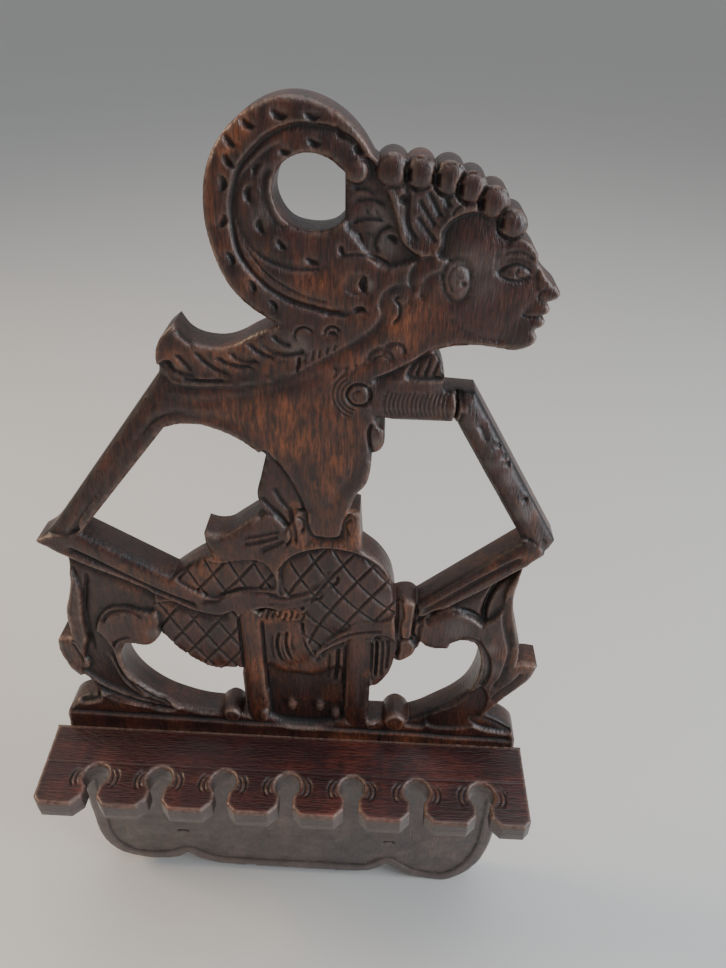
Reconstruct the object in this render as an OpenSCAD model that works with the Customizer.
// Wall rack with seven keyhole notches, cut and carved from dark hardwood.
// A fretwork board shows a figure in profile. A notched shelf is butted to the
// board's face and held by three screws from behind. A brass ring hangs it, in a
// pocket in the board's back, so that the back lies flat against a wall.
// X runs to the figure's front, the shelf projects towards -Y, Z is up.
// Z = 0 is at the foot of the board's lowest lobe.

/* [Board] */
// Thickness of the carved board
board_t = 15; // [13:0.5:18]
// Height of the shelf's top face above the foot of the board
shelf_z = 142; // [136:1:150]
// Largest gap between two points along a curved outline
curve_step = 2; // [1.5:0.5:4]

/* [Shelf] */
// Width of the shelf, end to end
shelf_w = 240; // [236:1:250]
// How far the shelf stands out from the board
shelf_d = 43; // [40:0.5:48]
// Thickness of the shelf
shelf_t = 11.5; // [10:0.5:14]
// How far the shelf's left end slants in towards the front
shelf_slant = 3; // [0:0.5:6]
// Chamfer on the shelf's two front corners
end_chamfer = 3; // [1:0.5:5]

/* [Keyhole notches] */
// Number of notches
notch_count = 7; // [5:1:7]
// Distance from one notch to the next
notch_pitch = 31.5; // [30:0.5:32]
// X position of the first notch
first_notch_x = -91; // [-94:0.5:-90]
// Diameter of the round end that holds the stem
notch_d = 12.5; // [11:0.5:13]
// Distance from the board's face to the centre of the round end
notch_y = 27.5; // [26:0.5:30]
// Width of the slot that leads to the round end
slot_w = 7; // [6:0.5:7.5]
// Chamfer on both sides of each slot's mouth
mouth_chamfer = 4.5; // [2:0.5:6]

/* [Shelf screws] */
// Distance between neighbouring screws
screw_pitch = 78; // [60:1:90]
// Diameter of the shank
screw_d = 3.5; // [3:0.5:4]
// Diameter of the countersunk head
screw_head_d = 7; // [6:0.5:8]
// Length, head included
screw_l = 31; // [25:1:33]

/* [Hanger] */
// X position of the hanger
hanger_x = 12; // [8:1:16]
// Height of the ring's hinge above the shelf's top face
hinge_rise = 204; // [198:1:208]
// Thickness of the hanger's plate
plate_t = 1.5; // [1.2:0.1:1.8]
// Width of the plate at the knuckle
plate_w = 9; // [8:0.5:10]
// Diameter of the ring's wire
wire_d = 2.2; // [1.8:0.1:2.6]
// Inside width of the ring
ring_inside = 12; // [11.5:0.5:14]
// Length of the two hanger screws, head included
small_screw_l = 7.5; // [7:0.5:8]

/* [Hidden] */
$fn = 48;

wood = [0.30, 0.13, 0.09];
shelf_wood = [0.34, 0.15, 0.11];
steel = [0.62, 0.62, 0.64];
brass = [0.78, 0.60, 0.28];

// The rack's whole depth is centred on Y = 0.
depth = shelf_d + board_t;
back_y = depth / 2;
face_y = back_y - board_t;

hinge_gap = 0.3;
wire_r = wire_d / 2;
hinge_y = plate_t + hinge_gap + wire_r;
bar_clearance = 0.1;
knuckle_r = wire_r + bar_clearance + plate_t;
hinge_z = shelf_z + hinge_rise;
ring_r = ring_inside / 2 + wire_r;
leg_l = 5;
small_screw_drops = [7, 17];
plate_tail_r = 7;

// The hanger's pocket has room for the ring to turn right over.
pocket_gap = 0.8;
pocket_r = ring_r + wire_r + pocket_gap;
pocket_drop = small_screw_drops[1] + plate_tail_r + pocket_gap - pocket_r;
pocket_depth = hinge_y + knuckle_r + 0.4;
seat_y = back_y - pocket_depth;

// Screw proportions. A tip is tip_share shank diameters long.
head_rim = 0.4;
tip_share = 1.4;
slot_depth = 0.9;
slot_cut_w = 0.9;
small_screw_d = 2.9;
small_head_d = 5.4;
end_gap = 0.01;

// A knot is [x, z] where the outline runs on smoothly, or [x, z, 1] at a corner.
// z counts from the shelf's top face.
base_left = [[-114, 0, 1], [-113.5, 8], [-110.5, 14.5], [-105, 18.8], [-97, 20.3, 1]];
leaf_left = [[-96.3, 28], [-99, 37.5], [-103.5, 45], [-106.4, 51.5], [-107, 58],
             [-106.3, 63.6, 1], [-99, 64.2, 1], [-98.8, 75], [-97.8, 84], [-94.5, 93.5],
             [-92, 103], [-91.6, 111], [-93, 117.8, 1]];
arm_left = [[-102.3, 124.3, 1], [-96.2, 128.8], [-88.8, 138, 1], [-38.6, 204.8, 1]];
wing = [[-38.2, 208.4], [-38.1, 212.3], [-37.2, 216.3], [-34.6, 220.7], [-30.6, 224.2, 1],
        [-27.9, 219.8], [-24.2, 217.3], [-19, 216.2], [-14, 216.4], [-8.8, 218.2],
        [-4, 221], [1.2, 223.6], [6.4, 225.2, 1]];
curl = [[2.2, 228.1], [-3.2, 231.9], [-7.8, 236.6], [-11.3, 242.3], [-14.1, 250.5],
        [-15.6, 259], [-15.3, 268.5], [-13.3, 276.3], [-9.5, 283], [-3, 289.6],
        [4.8, 294], [13, 295.4], [21, 293.8], [28, 290], [33.3, 284.8], [36.8, 279.6, 1]];
crown = [[42.4, 275.8], [50.8, 275.4], [59.6, 274], [66.6, 271.6], [73.6, 267.6],
         [80, 261.2], [83.4, 257.6, 1]];
face = [[86, 256.5], [89.3, 252.6], [89.8, 249.8], [93.5, 245.2], [98.3, 240.6],
        [97.6, 238.4], [94, 237.2, 1], [95.8, 235.2], [95.2, 233.2], [93.2, 232.2, 1],
        [95, 230.6], [94, 228.6], [91.8, 227.2], [93.2, 224.8], [91.6, 221.6],
        [86.5, 219.8], [76, 221], [66, 220.6], [58.5, 218.5, 1]];
collar = [[61.8, 213.5], [63.7, 208], [64.6, 202, 1]];
arm_right = [[75.4, 201.4, 1], [115, 134.8, 1], [113.4, 130.2, 1]];
leaf_right = [[105.6, 122.4], [102.9, 112], [102.4, 103], [103.8, 94], [106.4, 84.5],
              [108.6, 76], [109.6, 67], [109.4, 60.4, 1], [114, 61.2], [119.4, 60.4, 1],
              [117.4, 53], [112.8, 45.4], [107.6, 38], [104.2, 32], [100.4, 26],
              [98, 20.3, 1]];
base_right = [[103, 18.5], [109.5, 14.5], [114.5, 9.5], [116.6, 4], [116.8, 0, 1]];
// The lower edge has a wide middle lobe between two round ones, the front one lowest.
lobes = [[116.5, -30], [116.6, -86], [115, -104], [110.5, -121], [102.5, -134.5],
         [93, -141], [86, -shelf_z], [78, -141.2], [68.9, -138.2], [62, -132.4],
         [56.3, -127, 1], [51, -132], [43.5, -136.2], [35, -137.7, 1], [-45, -137, 1],
         [-54, -134.8], [-61, -130.8], [-67, -126.4, 1], [-74, -131.2], [-84, -133.6],
         [-93, -134], [-103, -132], [-113.2, -124], [-118.4, -110], [-119.4, -90],
         [-117.5, -30]];
outline = concat(base_left, leaf_left, arm_left, wing, curl, crown, face, collar,
                 arm_right, leaf_right, base_right, lobes);

// Beads along the crown: [x, z, radius].
beads = [[42.4, 275.8, 5.2], [50.8, 275.4, 4.9], [59.6, 274, 5.2],
         [66.6, 271.6, 4.8], [73.6, 267.6, 5], [80, 261.2, 4.8]];

curl_hole = [[6, 270], [9.3, 277], [16, 280.2], [23, 279], [28.3, 275, 1],
             [28.3, 261.5, 1], [24.5, 258.3], [18, 257.3], [11, 259], [7, 264]];
left_arm_gap = [[-82.6, 129, 1], [-39.2, 183.4, 1], [-33, 185.1], [-25.5, 185.2], [-17, 182.7],
                [-9, 178.4], [-1.7, 172.2, 1], [-4.2, 162], [-6.2, 153], [-4.2, 145, 1], [-9, 141],
                [-15, 136.3], [-20, 132.6], [-25, 131.8], [-29.5, 133, 1], [-29.3, 127],
                [-27, 120, 1], [-34, 116], [-40, 111.5], [-46.5, 106, 1]];
right_arm_gap = [[41, 189.7, 1], [69.6, 189.6, 1], [102.4, 133.6, 1], [61, 96, 1],
                 [58.3, 98.3], [54, 98.3], [51, 97, 1], [50.3, 103], [48, 112],
                 [43, 120.5], [36, 127, 1], [35.5, 134], [34.8, 146.3, 1],
                 [30.5, 147.5, 1], [33.3, 155.8], [37, 161], [38.6, 168],
                 [39, 175.2, 1], [42, 176.6], [43.5, 180.2], [43.3, 185.4, 1],
                 [41, 187.4, 1]];
left_scroll_gap = [[-20, 13.4, 1], [-20, 48, 1], [-28, 48], [-36, 50], [-44, 54.5],
                   [-50, 60.5], [-54.5, 67], [-56.5, 70.5, 1], [-60.5, 65], [-64, 62.8],
                   [-69, 64.3], [-74, 64, 1], [-77.5, 57], [-78, 48], [-75, 38],
                   [-69.5, 29.5], [-61.5, 22], [-52, 17], [-43, 14], [-34.5, 13, 1],
                   [-31.8, 16.2], [-28.2, 18.2], [-24.6, 16.4], [-22.8, 13.6, 1]];
right_scroll_gap = [[41, 12.8, 1], [41.5, 41, 1], [44, 40.3], [46.5, 43], [50, 50.5],
                    [51.8, 57], [52.3, 60.5, 1], [55, 60.4], [59.5, 63.5], [62.8, 69.5],
                    [64, 74, 1], [66.5, 71.3], [71, 69.8], [76.5, 69.8, 1],
                    [78.3, 73.5], [82.5, 76.4], [87, 75.3], [90.5, 71.5], [92.6, 64],
                    [93, 56], [91.8, 46.5], [88.5, 37], [82.5, 29], [75, 22.5],
                    [67, 16], [61.6, 13, 1], [59.2, 17], [54.8, 19.6], [50.6, 17.2],
                   [48.4, 12.8, 1]];
gaps = [curl_hole, left_arm_gap, right_arm_gap, left_scroll_gap, right_scroll_gap];

function unit(v) = v / norm(v);
function wrap(p, i) = p[(i + len(p)) % len(p)];
function spot(p, i) = [wrap(p, i)[0], wrap(p, i)[1]];
function is_corner(p, i) = len(wrap(p, i)) == 3;
function through(p, i) = unit(spot(p, i + 1) - spot(p, i - 1));
function leave(p, i) = is_corner(p, i) ? unit(spot(p, i + 1) - spot(p, i)) : through(p, i);
function arrive(p, i) = is_corner(p, i) ? unit(spot(p, i) - spot(p, i - 1)) : through(p, i);

// Cubic from a to b with the slopes ta and tb at its ends.
function hermite(a, b, ta, tb, t) =
    (2 * pow(t, 3) - 3 * pow(t, 2) + 1) * a + (pow(t, 3) - 2 * pow(t, 2) + t) * ta
    + (3 * pow(t, 2) - 2 * pow(t, 3)) * b + (pow(t, 3) - pow(t, 2)) * tb;

function steps(p, i, span) =
    is_corner(p, i) && is_corner(p, i + 1) ? 1 : ceil(span / curve_step);

// The closed curve through all knots of p.
function closed_curve(p) = [
    for (i = [0 : len(p) - 1])
        let (a = spot(p, i), b = spot(p, i + 1), span = norm(b - a), n = steps(p, i, span))
        for (k = [0 : n - 1])
            hermite(a, b, leave(p, i) * span, arrive(p, i + 1) * span, k / n)
];

function screw_x(i) = (i - 1) * screw_pitch;
function notch_x(i) = first_notch_x + i * notch_pitch;

// Turns a drawing in X and Z into a slab whose back is at y = back_y.
module upright(thickness) {
    translate([0, back_y, shelf_z]) rotate([90, 0, 0]) linear_extrude(thickness) children();
}

// A countersunk wood screw along -Y, its head's face at y = 0.
module wood_screw(d, head_d, length) {
    cone_l = (head_d - d) / 2;
    tip_l = tip_share * d;
    rotate([90, 0, 0]) {
        cylinder(d = head_d, h = head_rim);
        translate([0, 0, head_rim]) cylinder(d1 = head_d, d2 = d, h = cone_l);
        cylinder(d = d, h = length - tip_l);
        translate([0, 0, length - tip_l]) cylinder(d1 = d, d2 = d / 5, h = tip_l);
    }
}

module slotted_screw(d, head_d, length) {
    difference() {
        wood_screw(d, head_d, length);
        translate([-head_d / 2 - end_gap, -slot_depth, -slot_cut_w / 2])
            cube([head_d + 2 * end_gap, slot_depth + end_gap, slot_cut_w]);
    }
}

module place_shelf_screws() {
    for (i = [0 : 2])
        translate([screw_x(i), back_y, shelf_z - shelf_t / 2]) children();
}

module place_hanger_screws() {
    for (drop = small_screw_drops)
        translate([hanger_x, seat_y + plate_t, hinge_z - drop]) children();
}

module hanger_pocket() {
    translate([hanger_x, seat_y, hinge_z]) rotate([-90, 0, 0])
        linear_extrude(pocket_depth + end_gap) hull() {
            translate([0, -leg_l]) circle(r = pocket_r);
            translate([0, pocket_drop]) circle(r = pocket_r);
        }
}

module figure_board() {
    color(wood) difference() {
        union() {
            upright(board_t) difference() {
                polygon(closed_curve(outline));
                for (gap = gaps) polygon(closed_curve(gap));
            }
            for (b = beads) upright(board_t) translate([b[0], b[1]]) circle(r = b[2]);
        }
        place_shelf_screws() wood_screw(screw_d, screw_head_d, screw_l);
        hanger_pocket();
        place_hanger_screws() wood_screw(small_screw_d, small_head_d, small_screw_l);
    }
}

module notch() {
    slot_l = shelf_d - notch_y;
    cylinder(d = notch_d, h = shelf_t + 2, center = true);
    translate([0, -slot_l / 2 - end_gap, 0])
        cube([slot_w, slot_l + 4 * end_gap, shelf_t + 2], center = true);
    translate([0, -slot_l, 0]) linear_extrude(shelf_t + 2, center = true)
        polygon([[-slot_w / 2 - mouth_chamfer, -end_gap], [slot_w / 2 + mouth_chamfer, -end_gap],
                 [slot_w / 2, mouth_chamfer], [-slot_w / 2, mouth_chamfer]]);
}

module pipe_shelf() {
    front_left = shelf_slant - shelf_w / 2;
    color(shelf_wood) difference() {
        translate([0, face_y, shelf_z - shelf_t]) linear_extrude(shelf_t)
            polygon([[-shelf_w / 2, 0], [front_left, -shelf_d + end_chamfer],
                     [front_left + end_chamfer, -shelf_d],
                     [shelf_w / 2 - end_chamfer, -shelf_d],
                     [shelf_w / 2, -shelf_d + end_chamfer], [shelf_w / 2, 0]]);
        for (i = [0 : notch_count - 1])
            translate([notch_x(i), face_y - notch_y, shelf_z - shelf_t / 2]) notch();
        place_shelf_screws() wood_screw(screw_d, screw_head_d, screw_l);
    }
}

module shelf_screws() {
    color(steel) place_shelf_screws() slotted_screw(screw_d, screw_head_d, screw_l);
}

// The plate below the knuckle, flat on the pocket's floor, and the knuckle itself.
module hanger_plate() {
    tail_z = small_screw_drops[1];
    color(brass) difference() {
        translate([hanger_x, seat_y, hinge_z]) union() {
            rotate([-90, 0, 0]) linear_extrude(plate_t) union() {
                translate([-plate_w / 2, 0]) square([plate_w, tail_z]);
                translate([0, tail_z]) circle(r = plate_tail_r);
            }
            translate([-plate_w / 2, 0, -plate_t / 2]) cube([plate_w, hinge_y, plate_t]);
            translate([0, hinge_y, 0]) rotate([0, 90, 0])
                cylinder(r = knuckle_r, h = plate_w, center = true);
        }
        translate([hanger_x, seat_y + hinge_y, hinge_z]) rotate([0, 90, 0])
            cylinder(r = wire_r + bar_clearance, h = plate_w + 2, center = true);
        place_hanger_screws() wood_screw(small_screw_d, small_head_d, small_screw_l);
    }
}

module hanger_screws() {
    color(brass) place_hanger_screws()
        slotted_screw(small_screw_d, small_head_d, small_screw_l);
}

// A D-shaped ring that hangs from its straight bar.
module hanger_ring() {
    color(brass) translate([hanger_x, seat_y + hinge_y, hinge_z]) union() {
        rotate([0, 90, 0]) cylinder(r = wire_r, h = 2 * ring_r, center = true);
        for (side = [-1, 1]) translate([side * ring_r, 0, 0]) {
            sphere(r = wire_r);
            mirror([0, 0, 1]) cylinder(r = wire_r, h = leg_l);
        }
        translate([0, 0, -leg_l]) rotate([90, 0, 0]) rotate([0, 0, 180])
            rotate_extrude(angle = 180) translate([ring_r, 0]) circle(r = wire_r);
    }
}

figure_board();
pipe_shelf();
shelf_screws();
hanger_plate();
hanger_screws();
hanger_ring();
